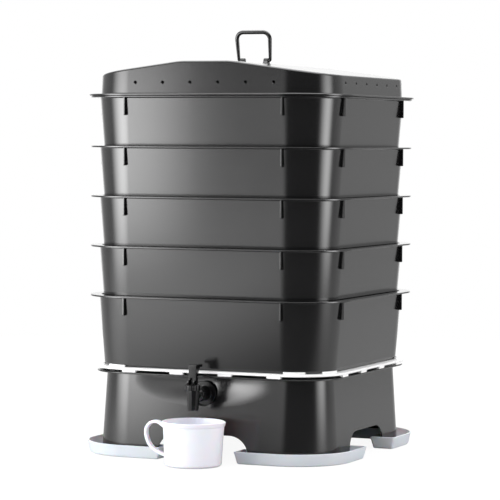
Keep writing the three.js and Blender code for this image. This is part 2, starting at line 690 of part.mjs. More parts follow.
function makeCup() {
  const beadZ = cupHeight - cupBeadDrop;
  // A rounded edge at the foot, from the bottom up
  const footArc = (radius, round, bottom) => Array.from({ length: cupFootSteps + 1 }, (_, i) => {
    const angle = (quarterTurn * i) / cupFootSteps;
    return [radius - round * (1 - Math.sin(angle)), bottom + round * (1 - Math.cos(angle))];
  });
  const outer = turned([
    [0, 0], ...footArc(cupFootRadius, cupFootRound, 0),
    [cupBeadRadius - cupWall / 2, beadZ - cupWall], [cupBeadRadius, beadZ],
    [cupRimRadius, cupHeight], [0, cupHeight],
  ], cupSteps);
  const innerRim = cupRimRadius - cupWall;
  const inner = turned([
    [0, cupFloor], ...footArc(cupFootRadius - cupWall, cupFootRound - cupWall, cupFloor),
    [cupBeadRadius - cupWall, beadZ], [innerRim, cupHeight],
    [innerRim, cupHeight + overrun], [0, cupHeight + overrun],
  ], cupSteps);
  const spread = THREE.MathUtils.degToRad(cupLipSpreadDegrees);
  for (const geometry of [outer, inner]) {
    const places = geometry.attributes.position;
    for (let i = 0; i < places.count; i++) {
      const point = new THREE.Vector3().fromBufferAttribute(places, i);
      const turn = Math.atan2(point.y, point.x) / spread;
      const rise = THREE.MathUtils.clamp((point.z - cupHeight + cupLipHeight) / cupLipHeight, 0, 1);
      const radius = Math.hypot(point.x, point.y);
      if (radius < cupFootRadius / 2 || Math.abs(turn) > 1 || rise === 0) continue;
      const growth = 1 + (cupLipReach * rise * rise * Math.cos(turn * quarterTurn)) / radius;
      places.setXY(i, point.x * growth, point.y * growth);
    }
  }
  const ringMiddle = new THREE.Vector3(-cupFootRadius, 0, cupHandleMiddle);
  const ringRise = (cupHandleHeight - cupHandleDepth) / 2;
  const ringPoints = Array.from({ length: cupHandleSteps + 1 }, (_, i) => {
    const angle = quarterTurn + (Math.PI * i) / cupHandleSteps;
    const reach = cupHandleReach - cupHandleDepth / 2;
    const place = new THREE.Vector3(reach * Math.cos(angle), 0, ringRise * Math.sin(angle));
    return place.add(ringMiddle);
  });
  const section = outline([
    [-cupHandleDepth / 2, -cupHandleWidth / 2], [cupHandleDepth / 2, -cupHandleWidth / 2],
    [cupHandleDepth / 2, cupHandleWidth / 2], [-cupHandleDepth / 2, cupHandleWidth / 2],
  ]);
  const path = new THREE.CatmullRomCurve3(ringPoints);
  const ring = new THREE.ExtrudeGeometry(section, { steps: cupHandleSteps, extrudePath: path });
  return toSolid(outer).add(toSolid(ring)).subtract(toSolid(inner));
}

// Materials, from the photograph

const finish = (color, roughness, extra = {}) =>
  new THREE.MeshStandardMaterial({ color, roughness, metalness: 0, flatShading: true, ...extra });
const blackPlastic = finish(0x1b1b1c, 0.3);
const tapPlastic = finish(0x101011, 0.4);
const whitePlastic = finish(0xeeeeee, 0.4);
const frostedPlastic = finish(0xd3dae2, 0.35, { transparent: true, opacity: 0.8 });
const cupPlastic = finish(0xf2f1f8, 0.3);
const silicone = finish(0xb8b8b4, 0.6);
const handleSteel = finish(0x151515, 0.3, { metalness: 0.4 });

function named(name, geometry, material) {
  const mesh = new THREE.Mesh(geometry, material);
  mesh.name = name;
  return mesh;
}

// The scene graph: all of it stands on the stack's axis, behind the origin because the cup is in front

const wormery = new THREE.Group();
const stack = new THREE.Group();
stack.position.y = stackY;
wormery.add(stack);

stack.add(named('base', toGeometry(makeBase()), blackPlastic));

const dishGeometry = toGeometry(makeDish());
['dish_front_right', 'dish_back_right', 'dish_back_left', 'dish_front_left'].forEach((name, i) => {
  const dish = named(name, dishGeometry, frostedPlastic);
  dish.rotation.z = i * quarterTurn;
  stack.add(dish);
});

const plate = named('strainer_plate', toGeometry(makeStrainerPlate()), whitePlastic);
plate.position.z = plateZ;
stack.add(plate);

const trayGeometry = toGeometry(makeTray());
for (let number = 1; number <= trayCount; number++) {
  const tray = named(`tray_${number}`, trayGeometry, blackPlastic);
  tray.position.z = bottomTrayZ + (trayCount - number) * trayPitch;
  stack.add(tray);
}

const lidGroup = new THREE.Group();
lidGroup.position.z = lidZ;
lidGroup.add(named('lid', toGeometry(makeLid()), blackPlastic));
const handle = named('handle', toGeometry(makeHandle()), handleSteel);
handle.position.z = handlePivotZ;
handle.rotation.x = THREE.MathUtils.degToRad(handleLeanDegrees);
lidGroup.add(handle);
stack.add(lidGroup);

const tap = new THREE.Group();
tap.position.set(0, -tapSeatHalf - tapReach, tapAxisHeight);
const innerFace = tapReach + tapSeatThick;
const nutFace = innerFace + seatGap + washerThick + seatGap;
tap.add(named('tap_body', toGeometry(makeTapBody()), tapPlastic));
tap.add(named('tap_outer_washer', toGeometry(washerAt(tapReach - seatGap - washerThick)), silicone));
tap.add(named('tap_inner_washer', toGeometry(washerAt(innerFace + seatGap)), silicone));
tap.add(named('tap_nut', toGeometry(makeTapNut(nutFace)), tapPlastic));
tap.add(named('tap_bonnet', toGeometry(makeBonnet()), tapPlastic));
tap.add(named('tap_plunger', toGeometry(makePlunger()), silicone));
tap.add(named('tap_lever_pin', toGeometry(makeLeverPin()), tapPlastic));
const lever = named('tap_lever', toGeometry(makeLever()), tapPlastic);
lever.position.z = pinZ;
tap.add(lever);
stack.add(tap);

const cup = named('cup', toGeometry(makeCup()), cupPlastic);
cup.position.set(cupX, -cupForward, 0);
stack.add(cup);

export default wormery;
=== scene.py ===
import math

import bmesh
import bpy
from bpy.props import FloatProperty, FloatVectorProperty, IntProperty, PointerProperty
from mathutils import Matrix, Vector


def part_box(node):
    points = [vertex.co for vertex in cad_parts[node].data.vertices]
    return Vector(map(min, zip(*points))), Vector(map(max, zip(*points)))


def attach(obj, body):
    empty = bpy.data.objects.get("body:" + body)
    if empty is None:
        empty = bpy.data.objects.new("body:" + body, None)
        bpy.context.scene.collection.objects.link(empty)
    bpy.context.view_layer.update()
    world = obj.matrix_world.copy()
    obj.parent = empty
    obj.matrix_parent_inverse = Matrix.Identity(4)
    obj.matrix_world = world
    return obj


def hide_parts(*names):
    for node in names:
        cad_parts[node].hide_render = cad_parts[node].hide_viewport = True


bl_info = {
    "name": "Wormery",
    "version": (1, 0, 0),
    "blender": (4, 5, 0),
    "location": "3D View > Sidebar > Wormery",
    "description": "A stack of worm trays with a lid, a sump with a tap, moat dishes and a collecting cup",
    "category": "Add Mesh",
}

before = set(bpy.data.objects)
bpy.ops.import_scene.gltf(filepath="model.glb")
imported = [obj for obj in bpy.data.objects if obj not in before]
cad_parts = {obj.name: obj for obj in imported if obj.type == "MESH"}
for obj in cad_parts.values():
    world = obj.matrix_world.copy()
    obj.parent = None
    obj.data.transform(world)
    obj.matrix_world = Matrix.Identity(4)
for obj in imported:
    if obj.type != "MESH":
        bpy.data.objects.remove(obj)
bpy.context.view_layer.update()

QUARTER = math.pi / 2
GAP = 0.0003  # between pieces that rest on each other
OVERRUN = 0.002  # how far a cutter runs past what it cuts
FAR = 0.2  # beyond the walls of the base
BELOW = -0.01  # under the ground
MIDDLE = 0.02  # how far the flat middle of a square body reaches past the straight runs of its sides
PIVOT_DROP = 0.00545  # from the top of the lid's ears down to the handle's pivot
EAR_WIDTH = 0.0074  # across each of the lid's ears
TAP_HOLE = 0.0083  # radius of what the tap's shank goes through
CUP_REACH = 0.0488  # from the cup's axis to the tip of its lip


def low(node):
    return Vector(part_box(node)[0])


def high(node):
    return Vector(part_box(node)[1])


def middle(node):
    return (low(node) + high(node)) / 2


# Settings


def length(name, description, default):
    return FloatProperty(name=name, description=description, default=default, min=0.0, unit="LENGTH", precision=4)


def colour(name, description, default):
    return FloatVectorProperty(
        name=name, description=description, default=default, min=0.0, max=1.0, size=3, subtype="COLOR"
    )


class WormeryStack(bpy.types.PropertyGroup):
    flat_half: length("Straight half", "Half the straight run of a rounded square's side", 0.1192)
    corner_steps: IntProperty(name="Corner steps", description="Facets in a large corner", default=20, min=4)
    foot_half: length("Tray foot", "Half width of a tray at its foot", 0.1819)
    mouth_half: length("Tray mouth", "Half width of a tray's wall under its rim", 0.1902)
    rim_half: length("Tray rim", "Half width over a tray's rim", 0.2038)
    height: length("Tray height", "Height of one tray", 0.104)
    pitch: length("Pitch", "Height from one rim to the next", 0.073)
    wall: length("Wall", "Thickness of a tray's wall and floor", 0.0025)
    rim_thick: length("Rim", "Thickness of a tray's rim", 0.0024)
    fin_offset: length("Fin offset", "From the middle of a side to a fin", 0.1235)
    fin_height: length("Fin height", "Height of a fin under the rim", 0.026)
    fin_thick: length("Fin thickness", "Thickness of a fin", 0.0025)
    fin_reach: length("Fin reach", "How far a fin stands out", 0.0038)
    ledge_offset: length("Ledge offset", "From the middle of a side to an inner rib", 0.062)
    ledge_reach: length("Ledge reach", "How far the top of an inner rib stands in", 0.014)


class WormeryLid(bpy.types.PropertyGroup):
    flange_half: length("Flange", "Half width over the flange", 0.2068)
    flange_thick: length("Flange thickness", "Thickness of the flange", 0.0024)
    foot_half: length("Wall foot", "Half width of the walls at the flange", 0.1889)
    top_half: length("Wall top", "Half width of the walls at ridge height", 0.1861)
    lip_half: length("Lip", "Half width over the lip inside the top tray", 0.1868)
    lip_depth: length("Lip depth", "How far the lip reaches down", 0.006)
    ridge: length("Ridge", "Height of the ridge above the flange's underside", 0.0499)
    eaves_drop: length("Eaves drop", "From the ridge down to the eaves", 0.0197)
    ridge_half: length("Ridge half", "Half width of the flat ridge", 0.039)
    wall: length("Wall", "Thickness of the lid", 0.0025)
    edge_round: length("Edge", "Rounding where the roof meets the walls", 0.0028)
    vent_radius: length("Vent radius", "Radius of an air hole", 0.0018)
    vent_pitch: length("Vent pitch", "Distance between two air holes", 0.0434)
    vent_height: length("Vent height", "Height of the air holes above the flange", 0.0165)
    vents: IntProperty(name="Vents", description="Air holes in each side", default=6, min=0)
    wire: length("Handle wire", "Diameter of the handle's wire at its feet", 0.0046)
    grip: length("Handle grip", "Diameter of the handle's bar", 0.0061)
    handle_foot: length("Handle foot", "Half the distance between the legs at the pivot", 0.0254)
    handle_top: length("Handle top", "Half the distance between the legs at the bar", 0.0270)
    handle_length: length("Handle length", "From the pivot to the middle of the bar", 0.0429)
    handle_lean: FloatProperty(
        name="Handle lean", description="How far the handle leans to the front",
        default=math.radians(9), subtype="ANGLE",
    )


class WormeryBase(bpy.types.PropertyGroup):
    plate_half: length("Plate", "Half width of the strainer plate", 0.1945)
    plate_thick: length("Plate thickness", "Thickness of the strainer plate", 0.0033)
    foot_height: length("Plate feet", "Height of the feet under the plate", 0.0034)
    tab_height: length("Tabs", "Height of the corner tabs on the plate", 0.003)
    rim_half: length("Rim", "Half width over the rim of the base", 0.193)
    rim_thick: length("Rim thickness", "Thickness of the rim of the base", 0.0022)
    mouth_half: length("Mouth", "Half width of the wall under the rim", 0.178)
    foot_half: length("Foot", "Half width of the wall at the foot", 0.1855)
    wall: length("Wall", "Thickness of the wall", 0.003)
    sump_front: length("Sump front", "Height of the sump's floor at the front", 0.074)
    sump_back: length("Sump back", "Height of the sump's floor at the back", 0.086)
    arch_half: length("Arch", "Half width of the arch in each side", 0.072)
    arch_height: length("Arch height", "Height of the arch above the ground", 0.0375)
    arch_round: length("Arch corner", "Radius of the arch's upper corners", 0.0305)
    scoop_half: length("Scoop", "Half width of the hollow round the tap", 0.116)
    scoop_middle: length("Scoop middle", "Height of the hollow's deepest point", 0.112)
    scoop_rise: length("Scoop rise", "Half height of the hollow round the tap", 0.037)
    scoop_depth: length("Scoop depth", "Depth of the hollow", 0.007)
    seat_radius: length("Tap seat", "Radius of the flat seat of the tap", 0.0195)
    post_offset: length("Posts", "From the middle to the posts in the sump, both ways", 0.07)
    dish_half: length("Dishes", "Half width over the moat dishes", 0.207)
    dish_arm: length("Dish arm", "Width of a dish's arm", 0.039)
    dish_height: length("Dish height", "Height of a dish", 0.0175)
    dish_end: length("Dish end", "From the middle of a side to the end of an arm", 0.058)
    dish_flare: length("Dish flare", "How far a dish's walls lean out", 0.004)
    dish_wall: length("Dish wall", "Thickness of a dish's wall", 0.002)


class WormeryTap(bpy.types.PropertyGroup):
    spout_top: length("Spout top", "Radius of the spout at its shoulder", 0.0096)
    spout_tip: length("Spout tip", "Radius of the spout at its tip", 0.0079)
    spout_drop: length("Spout drop", "From the barrel's axis down to the tip", 0.0214)
    spout_rise: length("Spout rise", "From the barrel's axis up to the shoulder", 0.007)
    spout_sides: IntProperty(name="Spout sides", description="Flats round the spout", default=10, min=6)
    barrel: length("Barrel", "Radius of the barrel", 0.0102)
    flange: length("Flange", "Radius of the tap's flange", 0.0175)
    bonnet: length("Bonnet", "Radius of the fluted collar", 0.0118)
    bonnet_height: length("Bonnet height", "Height of the fluted collar", 0.0078)
    flutes: IntProperty(name="Flutes", description="Ridges round the collar", default=12, min=6)
    lever_width: length("Lever", "Width of the lever", 0.012)
    lever_gap: length("Lever gap", "Gap between the lever's prongs", 0.0066)
    lever_height: length("Lever height", "Top of the lever above its pin", 0.025)


class WormeryCup(bpy.types.PropertyGroup):
    height: length("Height", "Height of the cup", 0.0636)
    rim: length("Rim", "Radius of the rim", 0.0448)
    foot: length("Foot", "Radius at the foot", 0.0407)
    foot_round: length("Foot round", "Rounding at the foot", 0.0038)
    wall: length("Wall", "Thickness of the wall", 0.002)
    bead_drop: length("Bead", "From the rim down to the bead line", 0.005)
    lip: length("Lip", "How far the pouring lip reaches out", 0.0034)
    ring_reach: length("Ring reach", "From the cup's axis to the outside of its ring", 0.0756)
    ring_middle: length("Ring middle", "Height of the ring's outermost point", 0.0455)
    ring_top: length("Ring top", "Radius of the band over the outermost point", 0.0149)
    ring_sweep: length("Ring sweep", "Radius of the band under the outermost point", 0.031)
    ring_depth: length("Ring depth", "Thickness of the ring's band", 0.0042)
    ring_width: length("Ring width", "Width of the ring's band", 0.0088)


class WormeryFinish(bpy.types.PropertyGroup):
    black: colour("Trays", "Colour of the black moulded plastic", (0.0055, 0.0055, 0.0058))
    tap_black: colour("Tap", "Colour of the tap's plastic", (0.0035, 0.0035, 0.0038))
    plate_white: colour("Plate", "Colour of the strainer plate", (0.82, 0.82, 0.82))
    dish_grey: colour("Dishes", "Colour of the frosted dishes", (0.8, 0.83, 0.885))
    cup_white: colour("Cup", "Colour of the cup", (0.8, 0.79, 0.86))
    wire_black: colour("Handle", "Colour of the lacquered wire", (0.005, 0.005, 0.005))
    seal_grey: colour("Seals", "Colour of the silicone seals", (0.42, 0.42, 0.4))


def settings(group):
    return getattr(bpy.context.scene, "wormery_" + group)


# Shader nodes


class Value:
    """A socket that can be added, subtracted and multiplied in a plain expression."""

    def __init__(self, nodes, socket):
        self.nodes = nodes
        self.socket = socket

    def maths(self, operation, *values):
        return self.nodes.node("Math", {"operation": operation}, *values)

    def __add__(self, other):
        return self.maths("ADD", self, other)

    def __radd__(self, other):
        return self.maths("ADD", other, self)

    def __sub__(self, other):
        return self.maths("SUBTRACT", self, other)

    def __mul__(self, other):
        return self.maths("MULTIPLY", self, other)

    def goes(self, start, end, first=0.0, last=1.0):
        """Goes softly from the first level to the last while the socket goes from start to end."""
        return self.nodes.node("MapRange", {"interpolation_type": "SMOOTHSTEP"}, self, start, end, first, last)


class Nodes:
    """The node tree of a material, a lamp or a world, emptied."""

    def __init__(self, owner):
        owner.use_nodes = True
        self.tree = owner.node_tree
        self.tree.nodes.clear()

    def node(self, kind, options=None, *values, out=0, at=None, **named):
        """Adds a node with its settings, then its inputs by order, index or name, and gives one output."""
        made = self.tree.nodes.new("ShaderNode" + kind)
        for key, value in (options or {}).items():
            setattr(made, key, value)
        for key, value in [*enumerate(values), *(at or {}).items(), *named.items()]:
            socket = made.inputs[key if isinstance(key, int) else key.replace("_", " ")]
            if isinstance(value, Value):
                self.tree.links.new(value.socket, socket)
            else:
                socket.default_value = (*value, 1.0) if socket.type == "RGBA" else value
        return Value(self, made.outputs[out]) if made.outputs else None

    def part(self, axis, vector):
        return self.node("SeparateXYZ", None, vector, out=axis)

    def dot(self, first, second):
        return self.node("VectorMath", {"operation": "DOT_PRODUCT"}, first, second, out="Value")

    def blend(self, factor, first, second):
        """Mixes two colours."""
        return self.node("Mix", {"data_type": "RGBA"}, out=2, at={0: factor, 6: first, 7: second})

    def mix(self, factor, first, second):
        """Mixes two shaders."""
        return self.node("MixShader", None, factor, first, second)

    def matt(self, paint):
        return self.node("BsdfDiffuse", None, Color=paint)

    def finish(self, shader, kind="OutputMaterial"):
        self.node(kind, None, shader)


BLACK, WHITE = (0.0, 0.0, 0.0), (1.0, 1.0, 1.0)

# For each slot: the material's name, its colour's setting, roughness, speckle and bump, and what else is set.
FINISHES = {
    "black_plastic": ("black moulded plastic", "black", 0.17, 0.1, 0.05, {"Specular_IOR_Level": 0.85}),
    "tap_plastic": ("tap plastic", "tap_black", 0.2, 0.15, 0.06, {"Specular_IOR_Level": 0.55}),
    "white_plastic": ("white moulded plastic", "plate_white", 0.42, 0.03, 0.08, {}),
    "frosted_plastic": (
        "frosted plastic", "dish_grey", 0.36, 0.05, 0.08,
        {"Transmission_Weight": 0.25, "Subsurface_Weight": 0.15, "Subsurface_Scale": 0.01},
    ),
    "cup_plastic": (
        "cup plastic", "cup_white", 0.3, 0.02, 0.05, {"Subsurface_Weight": 0.25, "Subsurface_Scale": 0.01},
    ),
    "bail_wire": ("lacquered wire", "wire_black", 0.2, 0.2, 0.1, {"Coat_Weight": 0.6, "Coat_Roughness": 0.1}),
    "seal_silicone": ("seal silicone", "seal_grey", 0.55, 0.06, 0.12, {}),
}


def moulded(name, tone, roughness, speckle, bump, constants, upper=None):
    """Moulded plastic: faint flow clouds in the colour and gloss, and a fine grain from the mould.

    upper gives another colour and the height above which the piece has it.
    """
    material = bpy.data.materials.get(name)
    if material:
        return material
    material = bpy.data.materials.new(name)
    nodes = Nodes(material)
    spot = nodes.node("TexCoord", out="Object")
    clouds = nodes.node("TexNoise", None, Vector=spot, Scale=7.0, Detail=2.0, Roughness=0.5)
    grain = nodes.node("TexNoise", None, Vector=spot, Scale=900.0, Detail=1.0, Roughness=0.5)
    dark = [channel * (1 - speckle) for channel in tone]
    light = [min(1.0, channel * (1 + speckle)) for channel in tone]
    paint = nodes.blend(clouds, dark, light)
    if upper:
        above, height = upper
        rise = nodes.part("Z", spot)
        paint = nodes.blend(rise.maths("GREATER_THAN", rise, height), paint, above)
    gloss = roughness + (clouds - 0.5) * 0.02
    normal = nodes.node("Bump", None, Strength=bump, Distance=0.0001, Height=grain)
    shader = nodes.node("BsdfPrincipled", None, Base_Color=paint, Roughness=gloss, Normal=normal, **constants)
    nodes.finish(shader)
    return material


def finish(slot):
    name, tone, *rest = FINISHES[slot]
    return moulded(name, getattr(settings("finish"), tone), *rest)


# Modelling


def object_mode():
    if bpy.context.object and bpy.context.object.mode != "OBJECT":
        bpy.ops.object.mode_set(mode="OBJECT")


def select_only(*pieces):
    object_mode()
    bpy.ops.object.select_all(action="DESELECT")
    for piece in pieces:
        piece.select_set(True)
    bpy.context.view_layer.objects.active = pieces[0]


def select_all():
    bpy.ops.mesh.select_all(action="SELECT")


def edit(piece):
    select_only(piece)
    bpy.ops.object.mode_set(mode="EDIT")
    bpy.context.tool_settings.mesh_select_mode = (True, False, False)
    select_all()


def start(name, primitive, **options):
    """Adds a primitive on its own, with its place in its mesh, and opens it in edit mode."""
    object_mode()
    bpy.ops.object.select_all(action="DESELECT")
    primitive(**options)
    piece = bpy.context.object
    piece.name = piece.data.name = name
    bpy.ops.object.transform_apply(location=True, rotation=True, scale=True)
    edit(piece)
    return piece


def pick(kind, test):
    """Selects only the vertices or the edges that pass a test of their middle and themselves."""
    bpy.context.tool_settings.mesh_select_mode = (kind == "verts", kind == "edges", False)
    bpy.ops.mesh.select_all(action="DESELECT")
    data = bpy.context.object.data
    mesh = bmesh.from_edit_mesh(data)
    for element in getattr(mesh, kind):
        centre = element.co if kind == "verts" else (element.verts[0].co + element.verts[1].co) / 2
        if test(centre, element):
            element.select_set(True)
    mesh.select_flush_mode()
    bmesh.update_edit_mesh(data)


def bend_of(edge):
    """The angle between an edge's two faces, or zero on a border."""
    return edge.calc_face_angle(0.0) if len(edge.link_faces) == 2 else 0.0


def soften(test, radius, segments):
    """Rounds the edges that pass a test."""
    pick("edges", test)
    bpy.ops.mesh.bevel(offset=radius, segments=segments, affect="EDGES")


def extrude(offset):
    bpy.ops.mesh.extrude_region_move(TRANSFORM_OT_translate={"value": offset})


def extrude_edges(offset):
    bpy.ops.mesh.extrude_edges_move(TRANSFORM_OT_translate={"value": offset})


def spin(steps, turn, centre, axis=(0, 0, 1)):
    bpy.ops.mesh.spin(steps=steps, angle=turn, center=centre, axis=axis)


def scale(value, centre):
    bpy.ops.transform.resize(value=value, center_override=centre)


def press(offset, reach):
    """Moves what is selected, and takes what is near along by a share that fades out over the reach."""
    bpy.ops.transform.translate(
        value=offset, use_proportional_edit=True, proportional_edit_falloff="SMOOTH", proportional_size=reach
    )


def trim(spot, normal, **side):
    """Cuts one side off the open mesh at a plane, and closes it there."""
    select_all()
    bpy.ops.mesh.bisect(plane_co=spot, plane_no=normal, use_fill=True, **side)


def trace(name, corners, closed=False, segments=5):
    """Draws from corner to corner, starting from one point. A corner is (x, y, z) and, if rounded, a setback."""
    places = [Vector(corner[:3]) for corner in corners]
    piece = start(name, bpy.ops.mesh.primitive_plane_add, size=0.001)
    bpy.ops.mesh.merge(type="CENTER")
    bpy.ops.transform.translate(value=places[0])
    for here, there in zip(places, places[1:]):
        bpy.ops.mesh.extrude_vertices_move(TRANSFORM_OT_translate={"value": there - here})
    if closed:
        select_all()
        bpy.ops.mesh.edge_face_add()
    for corner, spot in zip(corners, places):
        if len(corner) > 3:
            pick("verts", lambda centre, _: (centre - spot).length < 1e-6)
            bpy.ops.mesh.bevel(offset=corner[3], segments=segments, affect="VERTICES")
    select_all()
    return piece


def tidy():
    """Merges what meets, and points every face outwards."""
    bpy.context.tool_settings.mesh_select_mode = (True, False, False)
    select_all()
    bpy.ops.mesh.remove_doubles(threshold=2e-6)
    bpy.ops.mesh.normals_make_consistent(inside=False)


def square(name, corners):
    """A solid swept round the stack's rounded square from a profile of (half width, height, rounding).

    A flat middle closes it at its first and last heights.
    """
    flat = settings("stack").flat_half
    steps = settings("stack").corner_steps
    first, last = ((flat + MIDDLE, corners[i][1]) for i in (0, -1))
    piece = trace(name, [(half, -flat, *rest) for half, *rest in (first, *corners, last)])
    for side in range(4):
        turn = Matrix.Rotation(side * QUARTER, 3, "Z")
        extrude_edges(turn @ Vector((0, 2 * flat, 0)))
        spin(steps, -QUARTER, turn @ Vector((flat, flat, 0)))
    tidy()
    for _, height in (first, last):
        pick("edges", lambda centre, edge: edge.is_boundary and abs(centre.z - height) < 1e-5)
        bpy.ops.mesh.edge_face_add()
    tidy()
    return piece


def turned(name, profile, steps=48, segments=4):
    """A solid of revolution round Z from (radius, height, rounding) corners that start and end on the axis."""
    piece = trace(name, [(radius, 0, *rest) for radius, *rest in profile], segments=segments)
    spin(steps, 2 * math.pi, (0, 0, 0))
    tidy()
    return piece


def rod(name, radius, bottom, top, steps=48):
    return turned(name, [(0, bottom), (radius, bottom), (radius, top), (0, top)], steps=steps)


def prism(name, sides, radius, bottom, top, turn=0.0):
    """An upright prism with its corners on a circle."""
    return start(
        name, bpy.ops.mesh.primitive_cylinder_add, vertices=sides, radius=radius, depth=top - bottom,
        location=(0, 0, (top + bottom) / 2), rotation=(0, 0, turn),
    )


def upright(name, outline, width, edge, segments=5):
    """A plate across X from (y, z, rounding) corners, as wide as asked, with the edges of both faces softened."""
    piece = trace(name, [(-width / 2, *corner) for corner in outline], closed=True, segments=segments)
    extrude((width, 0, 0))
    tidy()
    soften(lambda centre, _: abs(abs(centre.x) - width / 2) < 1e-6, edge, 2)
    return piece


def block(name, corner, opposite, edge, upright_only=False):
    """A block between two corners, with all its edges or only the upright ones rounded."""
    a, b = Vector(corner), Vector(opposite)
    piece = start(name, bpy.ops.mesh.primitive_cube_add, size=1.0)
    bpy.ops.transform.resize(value=b - a)
    bpy.ops.transform.translate(value=(a + b) / 2)
    soften(lambda _, made: not upright_only or abs((made.verts[0].co - made.verts[1].co).z) > 1e-6, edge, 4)
    return piece


def pipe(name, places, bends, radius, growths, sides=20, steps=10):
    """A round wire through places in the XZ plane, which bends and grows by its own share at each inner place."""
    places = [Vector(spot) for spot in places]
    ways = [(there - here).normalized() for here, there in zip(places, places[1:])]
    turn = ways[0].to_track_quat("Z", "Y").to_euler()
    piece = start(
        name, bpy.ops.mesh.primitive_circle_add,
        vertices=sides, radius=radius, fill_type="NGON", location=places[0], rotation=turn,
    )
    here = places[0]
    for spot, before, after, bend, growth in zip(places[1:], ways, ways[1:], bends, growths):
        axis = before.cross(after).normalized()
        sweep = before.angle(after)
        setback = bend * math.tan(sweep / 2)
        reach = spot - before * setback
        extrude(reach - here)
        scale((growth, growth, growth), reach)
        spin(steps, -sweep, reach + axis.cross(before) * bend, axis)
        here = spot + after * setback
    extrude(places[-1] - here)
    tidy()
    return piece


def copy_of(piece, matrix=Matrix()):
    object_mode()
    copy = piece.copy()
    copy.data = piece.data.copy()
    bpy.context.collection.objects.link(copy)
    copy.matrix_world = matrix
    return copy


def delete(piece):
    bpy.data.objects.remove(piece)


def join(first, *others):
    select_only(first, *others)
    bpy.ops.object.join()
    return first


def repeat(piece, places):
    """Joined copies of a piece at each place instead of the piece."""
    copies = [copy_of(piece, spot) for spot in places]
    delete(piece)
    return join(*copies)


def around(piece, offsets):
    """Joined copies of a piece on each of the four sides, at each offset along the side."""
    return repeat(piece, [
        Matrix.Rotation(side * QUARTER, 4, "Z") @ Matrix.Translation((offset, 0, 0))
        for side in range(4)
        for offset in offsets
    ])


def slots(name, columns, rows, reach_x, reach_y, bridge, width, depth=0.01):
    """Cutters for slots in columns and rows that fill a field, through a floor near height zero."""
    long = (2 * reach_x + bridge) / columns - bridge
    step = (2 * reach_y - width) / (rows - 1)
    corner = Vector((long / 2, width / 2, depth))
    return repeat(block(name, -corner, corner, edge=width * 0.49, upright_only=True), [
        Matrix.Translation(((i - (columns - 1) / 2) * (long + bridge), (j - (rows - 1) / 2) * step, 0))
        for i in range(columns)
        for j in range(rows)
    ])


def modify(piece, kind, **options):
    """Adds a modifier with its settings, and applies it."""
    select_only(piece)
    bpy.ops.object.modifier_add(type=kind)
    modifier = piece.modifiers[-1]
    for key, value in options.items():
        setattr(modifier, key, value)
    bpy.ops.object.modifier_apply(modifier=modifier.name)


def carve(piece, cutter, operation="DIFFERENCE"):
    """Cuts a piece by another, or joins them, and removes the tool."""
    modify(piece, "BOOLEAN", operation=operation, solver="EXACT", object=cutter)
    delete(cutter)


def move(piece, matrix):
    """Moves a piece in its mesh by a matrix, and leaves it open."""
    object_mode()
    piece.data.transform(matrix)
    edit(piece)


def place(piece, offset=(0, 0, 0), turn=(0, 0, 0)):
    """Moves a piece in its mesh, so that its object stays at the origin."""
    select_only(piece)
    piece.location = offset
    piece.rotation_euler = turn
    bpy.ops.object.transform_apply(location=True, rotation=True, scale=True)
    return piece


def dress(piece, body, node, slot="black_plastic", sharp=32):
    """Names and shades a finished piece, gives it its material and its body, and hides the node it stands for."""
    piece.name = piece.data.name = "fine_" + node
    select_only(piece)
    bpy.ops.object.shade_smooth_by_angle(angle=math.radians(sharp))
    modify(piece, "WEIGHTED_NORMAL", keep_sharp=True)
    piece.data.materials.clear()
    piece.data.materials.append(finish(slot))
    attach(piece, body)
    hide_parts(node)


def stack_place(z):
    """A point on the stack's axis."""
    return Vector((0, middle("lid").y, z))


# Operators


class Build(bpy.types.Operator):
    bl_options = {"REGISTER", "UNDO"}

    def execute(self, context):
        self.build()
        object_mode()
        return {"FINISHED"}


class WORMERY_OT_trays(Build):
    """Model one tray and stack five of them"""

    bl_idname = "wormery.trays"
    bl_label = "Trays"

    def build(self):
        size = settings("stack")
        under = size.height - size.rim_thick
        sunk = size.wall / 2

        def half_at(z):
            return size.foot_half + (size.mouth_half - size.foot_half) * z / under

        tray = square("tray", [
            (half_at(size.wall) - size.wall, size.wall, 0.004), (size.mouth_half - size.wall, size.height, 0.0009),
            (size.rim_half, size.height, 0.0006), (size.rim_half, under, 0.0006),
            (size.mouth_half, under, 0.0014), (size.foot_half, 0, 0.003),
        ])
        foot, top = under - size.fin_height, under + 0.001
        face = size.mouth_half + size.fin_reach
        fin = upright("fin", [
            (-half_at(foot) + sunk, foot), (-face, foot, 0.001), (-face, top), (-size.mouth_half + sunk, top),
        ], size.fin_thick, edge=0.0004)
        fins = around(fin, [-size.fin_offset, size.fin_offset])
        foot, top = 0.002, size.pitch - GAP
        inner_foot, inner_top = half_at(foot) - size.wall, half_at(top) - size.wall
        ledge = upright("ledge", [
            (-inner_foot + 0.006, foot), (-inner_foot - sunk, foot), (-inner_top - sunk, top),
            (-inner_top + size.ledge_reach, top, 0.002),
        ], 0.003, edge=0.0004)
        ledges = around(ledge, [-size.ledge_offset, size.ledge_offset])
        carve(tray, slots("slot", 3, 8, size.foot_half - 0.0359, size.foot_half - 0.0454, bridge=0.02, width=0.007))
        join(tray, fins, ledges)
        for node in ("tray_1", "tray_2", "tray_3", "tray_4", "tray_5"):
            dress(place(copy_of(tray), stack_place(low(node).z)), node, node)
        delete(tray)


